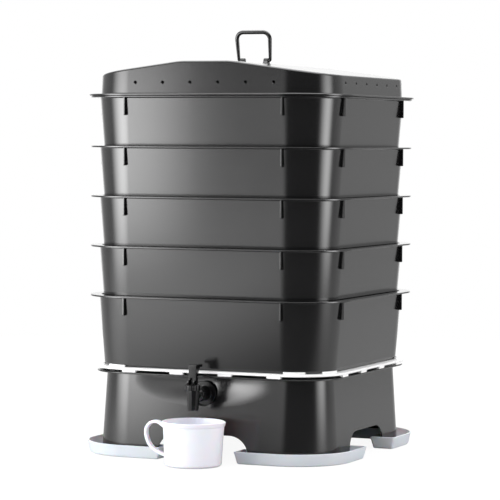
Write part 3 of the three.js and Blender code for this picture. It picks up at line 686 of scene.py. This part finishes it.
class WORMERY_OT_lid(Build):
    """Model the gabled lid with its flange, air holes and two ears"""

    bl_idname = "wormery.lid"
    bl_label = "Lid"

    def gable(self, name, corners, inset):
        """A square body under the roof's three faces, or as far under them as the inset says."""
        size = settings("lid")
        body = square(name, corners)
        slope = size.eaves_drop / (size.top_half - size.ridge_half)
        for normal in ((slope, 0, 1), (-slope, 0, 1), (0, 0, 1)):
            spot = (math.copysign(size.ridge_half, normal[0]), 0, size.ridge - inset)
            trim(spot, normal, clear_outer=True)
        tidy()
        return body

    def build(self):
        size = settings("lid")
        above = size.ridge + 0.01
        lid = self.gable("lid_skin", [
            (size.lip_half, -size.lip_depth, 0.0008), (size.lip_half, 0),
            (size.flange_half, 0, 0.0006), (size.flange_half, size.flange_thick, 0.0006),
            (size.foot_half - 0.0001, size.flange_thick, 0.0016), (size.top_half, above),
        ], 0)
        soften(lambda centre, edge: centre.z > size.ridge - 0.001 and 0.05 < bend_of(edge) < 0.4, 0.007, 4)

        def eaves(centre, edge):
            if centre.z < 0.02 or bend_of(edge) < 0.8:
                return False
            tilts = [abs(face.normal.z) for face in edge.link_faces]
            return max(tilts) > 0.9 and min(tilts) < 0.5
        soften(eaves, size.edge_round, 5)
        inner_lip = size.lip_half - size.wall
        below = -size.lip_depth - OVERRUN
        carve(lid, self.gable("lid_hollow", [
            (inner_lip, below), (inner_lip, size.flange_thick), (size.top_half - size.wall, above),
        ], size.wall))

        vent_z = size.flange_thick + size.vent_height
        face = size.foot_half - (size.foot_half - size.top_half) * vent_z / size.ridge
        inside, outside = 0.17, face + 0.01
        hole, sink = size.vent_radius, size.vent_radius + 0.0009
        vent = turned("vent", [
            (0, inside), (hole, inside), (hole, face - 0.0007), (sink, face + 0.0003), (sink, outside), (0, outside),
        ], steps=20)
        place(vent, (0, 0, vent_z), (QUARTER, 0, 0))
        carve(lid, around(vent, [(i - (size.vents - 1) / 2) * size.vent_pitch for i in range(size.vents)]))

        pivot = high("lid").z - PIVOT_DROP - low("lid").z - size.lip_depth
        root, shoulder = size.ridge - size.wall / 2, size.ridge + 0.0002
        foot, crown = 0.0075, 0.004
        ear = upright("ear", [
            (foot, root), (-foot, root), (-foot, shoulder, 0.001), (-crown, pivot),
            (-crown, pivot + crown, crown * 0.96), (crown, pivot + crown, crown * 0.96), (crown, pivot),
            (foot, shoulder, 0.001),
        ], EAR_WIDTH, edge=0.0012, segments=8)
        clear = size.wire / 2 + GAP
        carve(ear, place(rod("ear_hole", clear, -0.01, 0.01, steps=24), (0, 0, pivot), (0, QUARTER, 0)))
        ear_x = size.handle_foot - clear - EAR_WIDTH / 2
        join(lid, repeat(ear, [Matrix.Translation((x, 0, 0)) for x in (-ear_x, ear_x)]))
        dress(place(lid, stack_place(low("lid").z + size.lip_depth)), "lid", "lid")


class WORMERY_OT_handle(Build):
    """Bend the wire handle that stands in the lid's ears"""

    bl_idname = "wormery.handle"
    bl_label = "Handle"

    def build(self):
        size = settings("lid")
        inner = size.handle_foot - size.wire / 2 - GAP - EAR_WIDTH
        right = [(inner, 0, 0), (size.handle_foot, 0, 0), (size.handle_top, 0, size.handle_length)]
        left = [(-x, y, z) for x, y, z in reversed(right)]
        foot_bend, top_bend = 0.0026, 0.0105
        bends = [foot_bend, top_bend, top_bend, foot_bend]
        growth = size.grip / size.wire
        wire = pipe("wire", right + left, bends, size.wire / 2, [1, growth, 1, 1 / growth])
        place(wire, stack_place(high("lid").z - PIVOT_DROP), (size.handle_lean, 0, 0))
        dress(wire, "handle", "handle", "bail_wire")


class WORMERY_OT_plate(Build):
    """Model the strainer plate between the trays and the base"""

    bl_idname = "wormery.plate"
    bl_label = "Strainer plate"

    def build(self):
        size = settings("base")
        stack = settings("stack")
        half, thick = size.plate_half, size.plate_thick
        top = thick + size.tab_height
        plate = square("plate", [(half, thick, 0.0009), (half, 0, 0.0009)])
        carve(plate, slots("plate_slot", 3, 9, half - 0.0355, half - 0.0515, bridge=0.012, width=0.006))
        foot_half, foot_pitch = 0.011, 0.076
        foot = block(
            "plate_foot", (-foot_half, -half + 0.0003, -size.foot_height), (foot_half, -half + 0.006, thick / 2),
            edge=0.0012,
        )
        feet = around(foot, [i * foot_pitch for i in (-1.5, -0.5, 0.5, 1.5)])
        inside = stack.foot_half + 0.0006
        outside = inside + 0.0026
        first, last = math.radians(5), math.radians(33)
        corner = Vector((stack.flat_half, stack.flat_half, 0))
        tabs = []
        for begin in (first, QUARTER - last):
            tab = trace("tab", [
                (inside, stack.flat_half, thick / 2), (outside, stack.flat_half, thick / 2),
                (outside, stack.flat_half, top, 0.0007), (inside, stack.flat_half, top, 0.0007),
            ], closed=True, segments=3)
            move(tab, Matrix.Translation(corner) @ Matrix.Rotation(begin, 4, "Z") @ Matrix.Translation(-corner))
            spin(8, first - last, corner)
            tidy()
            tabs.append(around(tab, [0.0]))
        join(plate, feet, *tabs)
        place(plate, stack_place(high("strainer_plate").z - top))
        dress(plate, "strainer", "strainer_plate", "white_plastic")


class WORMERY_OT_base(Build):
    """Model the base: a sump with a hollow for the tap, over an arched skirt"""

    bl_idname = "wormery.base"
    bl_label = "Base"

    def build(self):
        size = settings("base")
        ground = low("base").z
        rim = low("strainer_plate").z - GAP
        under = rim - size.rim_thick
        tap_z = low("tap_body").z + settings("tap").spout_drop
        seat = middle("lid").y - high("tap_outer_washer").y - GAP

        def half_at(z):
            return size.foot_half + (size.mouth_half - size.foot_half) * (z - ground) / (under - ground)

        def scoop(behind=0.0):
            """A cutter whose inner face is a sheet along the front wall with a soft dent in it."""
            cells = 64
            proud = 0.00005 - behind
            half = size.scoop_half + 0.001
            bottom, top = size.scoop_middle - size.scoop_rise - 0.001, under - 0.0017
            sheet = trace("scoop", [(-half, -half_at(z) - proud, z) for z in (bottom, top)])
            extrude_edges((2 * half, 0, 0))
            select_all()
            bpy.ops.mesh.subdivide(number_cuts=cells - 1)
            stretch = size.scoop_half / size.scoop_rise
            centre = (0, 0, size.scoop_middle)
            scale((1, 1, stretch), centre)
            near = (top - bottom) * stretch / cells * 0.55
            pick("verts", lambda spot, _: abs(spot.x) < 1e-5 and abs(spot.z - size.scoop_middle) <= near)
            press((0, size.scoop_depth, 0), size.scoop_half)
            select_all()
            scale((1, 1, 1 / stretch), centre)
            extrude((0, -0.03, 0))
            tidy()
            return sheet

        def disc(name, radius, near):
            return place(rod(name, radius, near, FAR, steps=64), (0, 0, tap_z), (QUARTER, 0, 0))

        def cut(piece, cutter):
            """Carves with both in triangles, which keeps the dented wall closed."""
            for made in (cutter, piece):
                edit(made)
                bpy.ops.mesh.quads_convert_to_tris()
            carve(piece, cutter)

        base = square("base_skin", [
            (size.rim_half, rim, 0.001), (size.rim_half, under, 0.001),
            (size.mouth_half, under, 0.0016), (size.foot_half, ground, 0.0008),
        ])
        fall = (size.sump_back - size.sump_front) / (2 * size.mouth_half)
        level = (size.sump_back + size.sump_front) / 2
        sump_foot = half_at(size.sump_front) - size.wall
        sump_mouth = size.mouth_half - size.wall
        sump = square("sump", [
            (sump_foot, 0.06), (sump_foot, size.sump_front), (sump_mouth, under), (sump_mouth, rim + 0.01),
        ])
        trim((0, 0, level), (0, -fall, 1), clear_inner=True)
        soften(lambda centre, edge: centre.z < 0.09 and bend_of(edge) > 1.0, 0.004, 3)
        tidy()
        skirt_foot = size.foot_half - size.wall
        skirt = square("skirt", [
            (skirt_foot, BELOW), (skirt_foot, ground), (sump_foot, size.sump_front), (sump_foot, 0.1),
        ])
        trim((0, 0, level - size.wall), (0, -fall, 1), clear_outer=True)
        tidy()

        cut(base, scoop())
        cut(base, disc("seat", size.seat_radius, seat))
        cut(base, disc("tap_hole", TAP_HOLE, 0.12))
        cut(sump, scoop(size.wall / 2))
        cut(sump, disc("seat_back", size.seat_radius + size.wall, seat - 0.004))
        cut(base, sump)
        cut(base, skirt)
        half, top, bend = size.arch_half, size.arch_height, size.arch_round
        for turn in (0, QUARTER):
            arch = trace("arch", [
                (half, -FAR, BELOW), (half, -FAR, top, bend), (-half, -FAR, top, bend), (-half, -FAR, BELOW),
            ], closed=True, segments=12)
            extrude((0, 2 * FAR, 0))
            tidy()
            cut(base, place(arch, turn=(0, 0, turn)))
        posts = []
        for x in (-size.post_offset, size.post_offset):
            for y in (-size.post_offset, size.post_offset):
                foot, top = level + fall * y - 0.0015, high("base").z
                post = turned("post", [(0, foot), (0.014, foot), (0.009, top, 0.001), (0, top)], steps=32)
                posts.append(place(post, (x, y, 0)))
        join(base, *posts)
        dress(place(base, stack_place(0)), "base", "base", sharp=28)


class WORMERY_OT_dishes(Build):
    """Model one moat dish and set it under each leg"""

    bl_idname = "wormery.dishes"
    bl_label = "Moat dishes"

    def build(self):
        size = settings("base")
        flat = settings("stack").flat_half
        end, height = size.dish_end, size.dish_height
        dish = trace("dish", [(size.dish_half - size.dish_arm, -end, height), (size.dish_half, -end, height)])
        extrude_edges((0, end - flat, 0))
        spin(20, QUARTER, (flat, -flat, 0))
        extrude_edges((end - flat, 0, 0))
        tidy()
        if next(iter(bmesh.from_edit_mesh(dish.data).faces)).normal.z < 0:
            bpy.ops.mesh.flip_normals()
        bpy.ops.mesh.inset(thickness=size.dish_flare, depth=-height, use_even_offset=True)

        def post_edge(_, edge):
            tall = abs(edge.verts[0].co.z - edge.verts[1].co.z) > height / 2
            return tall and bend_of(edge) > 1.0
        soften(post_edge, 0.003, 4)
        soften(lambda centre, edge: centre.z < 1e-5 and bend_of(edge) > 0.6, 0.002, 3)
        modify(dish, "SOLIDIFY", thickness=size.dish_wall, offset=1.0, use_even_offset=True)
        edit(dish)
        tidy()
        for i, node in enumerate(("dish_front_right", "dish_back_right", "dish_back_left", "dish_front_left")):
            copy = place(copy_of(dish), stack_place(0), (0, 0, i * QUARTER))
            dress(copy, "dishes", node, "frosted_plastic")
        delete(dish)


class WORMERY_OT_tap(Build):
    """Model the tap: faceted spout, fluted collar, forked lever, washers and nut"""

    bl_idname = "wormery.tap"
    bl_label = "Tap"

    def build(self):
        size = settings("tap")
        axis = middle("tap_plunger")
        axis.z = low("tap_body").z + size.spout_drop
        back = low("tap_outer_washer").y - axis.y - GAP
        front = back - 0.0034
        shank, shank_end = 0.008, back + 0.022

        spout = prism("spout", size.spout_sides, size.spout_top, -size.spout_drop, size.spout_rise, math.radians(12))
        pick("verts", lambda centre, _: centre.z < 0)
        share = size.spout_tip / size.spout_top
        scale((share, share, 1), (0, 0, 0))
        soften(lambda _, edge: bend_of(edge) > 0.3, 0.0005, 2)
        neck_top = size.spout_rise + 0.005
        neck = turned("neck", [(0, 0), (0.0084, 0), (0.0084, neck_top, 0.0005), (0, neck_top)])
        start_y = size.bonnet + GAP
        barrel = turned("barrel", [
            (0, 0), (size.spout_rise, 0), (size.spout_rise, start_y - 0.001, 0.0006),
            (size.barrel, start_y + 0.0022, 0.0008), (size.barrel, front - 0.0001, 0.0012),
            (size.flange, front, 0.0009), (size.flange, back, 0.0007),
            (shank, back), (shank, shank_end, 0.0008), (0, shank_end),
        ], steps=64)
        place(barrel, turn=(-QUARTER, 0, 0))
        inner, outer, wide = 0.0095, size.barrel + 0.0009, 0.0022
        ring = turned("barrel_ring", [(inner, 0), (outer, 0, 0.0005), (outer, wide, 0.0005), (inner, wide)], steps=64)
        place(ring, (0, start_y + 0.0055, 0), (-QUARTER, 0, 0))
        carve(spout, neck, "UNION")
        carve(spout, barrel, "UNION")
        carve(spout, rod("outlet", 0.0048, -0.03, 0, steps=32))
        join(spout, ring)
        dress(place(spout, axis), "base", "tap_body", "tap_plastic", sharp=25)

        foot = size.spout_rise + GAP
        bonnet_top = foot + size.bonnet_height
        bonnet = prism("bonnet", size.flutes * 6, size.bonnet, foot, bonnet_top)

        def in_flute(centre, _):
            turns = math.atan2(centre.y, centre.x) / (2 * math.pi) * size.flutes
            return abs(turns - round(turns)) < 0.26 and Vector(centre[:2]).length > 0.005
        pick("verts", in_flute)
        scale((0.925, 0.925, 1), (0, 0, 0))
        soften(lambda _, edge: bend_of(edge) > 1.2, 0.0005, 2)
        wide, narrow = 0.0087, 0.0015
        bottom, step, top = foot - 0.001, foot + 0.005, foot + 0.01
        carve(bonnet, turned("bonnet_bore", [
            (0, bottom), (wide, bottom), (wide, step), (narrow, step), (narrow, top), (0, top),
        ]))
        dress(place(bonnet, axis), "base", "tap_bonnet", "tap_plastic", sharp=25)

        pin_place = axis + Vector((0, 0, bonnet_top + 0.004))
        cam = 0.0037
        heel = -0.006 - cam
        top, tip = size.lever_height, 0.0192
        lever = upright("lever", [
            (cam, 0, 0.0004), (cam, -cam, cam * 0.98), (heel, -cam, cam * 0.98), (heel, cam, cam * 0.9),
            (-cam, cam, 0.001), (-cam + 0.0003, top, 0.0022), (tip, top, 0.002), (tip, top - 0.004, 0.0015),
            (cam + 0.004, top - 0.0052, 0.0045), (cam, 0.008, 0.001),
        ], size.lever_width, edge=0.0007, segments=6)
        gap = size.lever_gap / 2
        carve(lever, block("fork", (-gap, -0.02, -0.01), (gap, 0.02, 0.0065), edge=0.0006))
        carve(lever, place(rod("pin_hole", 0.0015, -0.01, 0.01, steps=24), turn=(0, QUARTER, 0)))
        dress(place(lever, pin_place), "lever", "tap_lever", "tap_plastic", sharp=25)

        thin, end = 0.0012, size.lever_width / 2
        pin = turned("pin", [(0, -end), (thin, -end, 0.0003), (thin, end, 0.0003), (0, end)], steps=24)
        dress(place(pin, pin_place, (0, QUARTER, 0)), "plunger", "tap_lever_pin", "tap_plastic")

        for node in ("tap_outer_washer", "tap_inner_washer"):
            thick, outer = high(node).y - low(node).y, 0.016
            washer = turned("washer", [
                (TAP_HOLE, 0), (outer, 0, 0.0008), (outer, thick, 0.0008), (TAP_HOLE, thick), (TAP_HOLE, 0),
            ])
            place(washer, (axis.x, low(node).y, axis.z), (-QUARTER, 0, 0))
            dress(washer, "base", node, "seal_silicone")

        nut = prism("nut", 6, 0.018, 0, high("tap_nut").y - low("tap_nut").y)
        soften(lambda *_: True, 0.0007, 2)
        carve(nut, rod("nut_bore", TAP_HOLE, -0.01, 0.02))
        place(nut, (axis.x, low("tap_nut").y, axis.z), (-QUARTER, 0, 0))
        dress(nut, "base", "tap_nut", "tap_plastic")

        colours = settings("finish")
        above = (colours.tap_black, axis.z)
        silicone = moulded("plunger silicone", colours.seal_grey, 0.5, 0.06, 0.12, {}, upper=above)
        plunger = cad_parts["tap_plunger"]
        plunger.data.materials.clear()
        plunger.data.materials.append(silicone)


class WORMERY_OT_cup(Build):
    """Model the collecting cup with its bead, lip and ring handle"""

    bl_idname = "wormery.cup"
    bl_label = "Collecting cup"

    def build(self):
        size = settings("cup")
        bead = size.height - size.bead_drop
        bead_radius = size.rim - 0.0008
        foot_ring = size.foot - size.foot_round - 0.004
        hollow, floor = 0.0008, 0.0024
        cup = turned("cup_skin", [
            (0, hollow), (foot_ring, hollow, 0.0006), (foot_ring + 0.001, 0, 0.0006),
            (size.foot, 0, size.foot_round),
            (bead_radius - 0.0009, bead - 0.002, 0.0006), (bead_radius, bead - 0.0002, 0.0005),
            (size.rim, size.height, 0.0009), (size.rim - size.wall, size.height, 0.0009),
            (bead_radius - size.wall, bead), (size.foot - size.wall, floor, size.foot_round), (0, floor),
        ], steps=96, segments=5)
        pick("verts", lambda centre, _: centre.z > size.height - 0.002 and math.atan2(abs(centre.y), centre.x) < 0.12)
        press((size.lip, 0, 0), 0.02)
        half, soft = size.ring_width / 2, 0.0012
        near, far = size.ring_top - size.ring_depth / 2, size.ring_top + size.ring_depth / 2
        ring = trace("ring", [
            (0, -half, near, soft), (0, half, near, soft), (0, half, far, soft), (0, -half, far, soft),
        ], closed=True, segments=3)
        crest = Vector((far - size.ring_reach, 0, size.ring_middle))
        foot_centre = crest + Vector((size.ring_sweep - size.ring_top, 0, 0))
        first, last = math.radians(35), math.radians(70)
        rising = Vector((-math.cos(first), 0, math.sin(first)))
        leaving = Vector((math.sin(last), 0, -math.cos(last)))
        inset = 0.012
        move(ring, Matrix.Translation(crest - rising * inset) @ Matrix.Rotation(first, 4, "Y"))
        extrude(rising * inset)
        spin(16, first + QUARTER, crest, (0, 1, 0))
        spin(12, last, foot_centre, (0, 1, 0))
        extrude(leaving * inset)
        tidy()
        carve(ring, turned("ring_trim", [
            (0, 0.001), (size.foot - 0.001, 0.001), (bead_radius - 0.001, size.height), (0, size.height),
        ], steps=96))
        join(cup, ring)
        place(cup, (high("cup").x - CUP_REACH, middle("cup").y, 0))
        dress(cup, "cup", "cup", "cup_plastic")


class WORMERY_OT_stage(Build):
    """Set the camera, the floor, the lamps and the pale surroundings"""

    bl_idname = "wormery.stage"
    bl_label = "Stage"

    def softbox(self, name, azimuth, across, radiance):
        """A tall soft lamp at an azimuth round the stack, which fades towards all its edges."""
        turn = math.radians(azimuth)
        distance, bottom, top = 1.5, 0.01, 1.15
        left, full_from, full_to, right = across
        data = bpy.data.lights.new(name, "AREA")
        data.shape = "RECTANGLE"
        data.size = right - left
        data.size_y = top - bottom
        data.energy = radiance * math.pi * data.size * data.size_y
        way = Vector((math.cos(turn), math.sin(turn), 0))
        front = Vector((math.sin(turn), -math.cos(turn), 0))
        centre = stack_place(0) + front * distance
        lamp = bpy.data.objects.new(name, data)
        bpy.context.collection.objects.link(lamp)
        lamp.location = centre + way * (left + right) / 2 + Vector((0, 0, (bottom + top) / 2))
        lamp.rotation_euler = (-front).to_track_quat("-Z", "Y").to_euler()
        lamp.visible_camera = False
        nodes = Nodes(data)
        spot = nodes.node("NewGeometry", out="Position")
        along = nodes.dot(spot, tuple(way)) - centre.dot(way)
        height = nodes.part("Z", spot)
        sideways = along.goes(left, full_from) * along.goes(full_to, right, 1.0, 0.0)
        upwards = height.goes(-0.09, 0.23) * height.goes(0.4, top - 0.05, 1.0, 0.0)
        nodes.finish(nodes.node("Emission", None, Strength=sideways * upwards), "OutputLight")

    def floor(self):
        """A floor that the camera sees as white, with the shadows, and that lights the object softly. Glossy rays see
        painted shade on it, darkest in front on the right.
        """
        floor = start("floor", bpy.ops.mesh.primitive_circle_add, vertices=128, radius=2.2, fill_type="NGON")
        object_mode()
        material = bpy.data.materials.new("pale floor")
        nodes = Nodes(material)
        spot = nodes.node("TexCoord", out="Object")
        # Painted shade that only glossy rays see: the floor's colour is darkest in front on the right, lightest in
        # front on the left and grey behind, so the black plastic mirrors a darker floor on its right.
        left = nodes.part("X", spot).goes(-0.45, -0.02, 1.0, 0.0)
        front = nodes.part("Y", spot).goes(-0.5, -0.05, 1.0, 0.0)
        shade = front * (left * 0.5 - 0.26) + 0.32
        painted_shade_in_gloss = nodes.matt(nodes.blend(shade, BLACK, WHITE))
        lit = nodes.matt((0.5, 0.5, 0.5))
        bounce = nodes.mix(nodes.node("LightPath", out="Is Glossy Ray"), lit, painted_shade_in_gloss)
        glow = nodes.node("Emission", None, Color=WHITE, Strength=1.0)
        pale = nodes.mix(0.93, nodes.matt((0.9, 0.9, 0.9)), glow)
        nodes.finish(nodes.mix(nodes.node("LightPath", out="Is Camera Ray"), bounce, pale))
        floor.data.materials.append(material)

    def surroundings(self, scene):
        """Pale walls that brighten behind the object and overhead. The camera sees plain white."""
        world = bpy.data.worlds.new("studio")
        scene.world = world
        nodes = Nodes(world)
        way = nodes.node("TexCoord", out="Generated")
        ahead = nodes.dot(way, (-0.389, 0.921, 0.0))
        sides = ahead.goes(-0.5, 0.35, 0.1, 0.6)
        behind = ahead.goes(0.8, 1.0, 0.0, 0.9)
        over = nodes.part("Z", way).goes(0.45, 0.95, 0.0, 3.2)
        walls = nodes.node("Background", None, Color=WHITE, Strength=sides + behind + over)
        white = nodes.node("Background", None, Color=WHITE, Strength=1.0)
        nodes.finish(nodes.mix(nodes.node("LightPath", out="Is Camera Ray"), walls, white), "OutputWorld")

    def camera(self, scene):
        """A long lens from the front right, a little above the middle and a touch out of level."""
        pose = Matrix.Translation((1.4844, -3.4817, 0.4621))
        for degrees, axis in ((22.92, "Z"), (90 - 2.466, "X"), (0.4, "Z")):
            pose = pose @ Matrix.Rotation(math.radians(degrees), 4, axis)
        camera = bpy.data.objects.new("camera", bpy.data.cameras.new("camera"))
        scene.collection.objects.link(camera)
        camera.matrix_world = pose
        camera.data.lens = 182.8
        scene.camera = camera

    def build(self):
        scene = bpy.context.scene
        self.camera(scene)
        self.floor()
        self.softbox("key softbox", -40, (-1.0, 0.0, 0.05, 0.82), 10.0)
        self.softbox("key edge", -40, (0.45, 0.75, 0.85, 1.3), 1.1)
        self.softbox("side softbox", 90, (-0.6, -0.02, 0.02, 0.5), 5.8)
        self.surroundings(scene)
        scene.view_settings.view_transform = "Standard"


class WORMERY_PT_panel(bpy.types.Panel):
    bl_label = "Wormery"
    bl_idname = "WORMERY_PT_panel"
    bl_space_type = "VIEW_3D"
    bl_region_type = "UI"
    bl_category = "Wormery"

    def draw(self, context):
        for operator in OPERATORS:
            self.layout.operator(operator.bl_idname)
        for key in GROUPS:
            box = self.layout.box()
            box.label(text=key.capitalize())
            group = getattr(context.scene, "wormery_" + key)
            for name in group.__annotations__:
                box.prop(group, name)


OPERATORS = (
    WORMERY_OT_stage,
    WORMERY_OT_trays,
    WORMERY_OT_lid,
    WORMERY_OT_handle,
    WORMERY_OT_plate,
    WORMERY_OT_base,
    WORMERY_OT_dishes,
    WORMERY_OT_tap,
    WORMERY_OT_cup,
)
GROUPS = {
    "stack": WormeryStack,
    "lid": WormeryLid,
    "base": WormeryBase,
    "tap": WormeryTap,
    "cup": WormeryCup,
    "finish": WormeryFinish,
}


def register():
    for key, group in GROUPS.items():
        bpy.utils.register_class(group)
        setattr(bpy.types.Scene, "wormery_" + key, PointerProperty(type=group))
    for cls in (*OPERATORS, WORMERY_PT_panel):
        bpy.utils.register_class(cls)


def unregister():
    for cls in reversed((*OPERATORS, WORMERY_PT_panel)):
        bpy.utils.unregister_class(cls)
    for key, group in GROUPS.items():
        delattr(bpy.types.Scene, "wormery_" + key)
        bpy.utils.unregister_class(group)


def main():
    register()
    bpy.ops.wormery.stage()
    bpy.ops.wormery.trays()
    bpy.ops.wormery.lid()
    bpy.ops.wormery.handle()
    bpy.ops.wormery.plate()
    bpy.ops.wormery.base()
    bpy.ops.wormery.dishes()
    bpy.ops.wormery.tap()
    bpy.ops.wormery.cup()


if __name__ == "__main__":
    main()
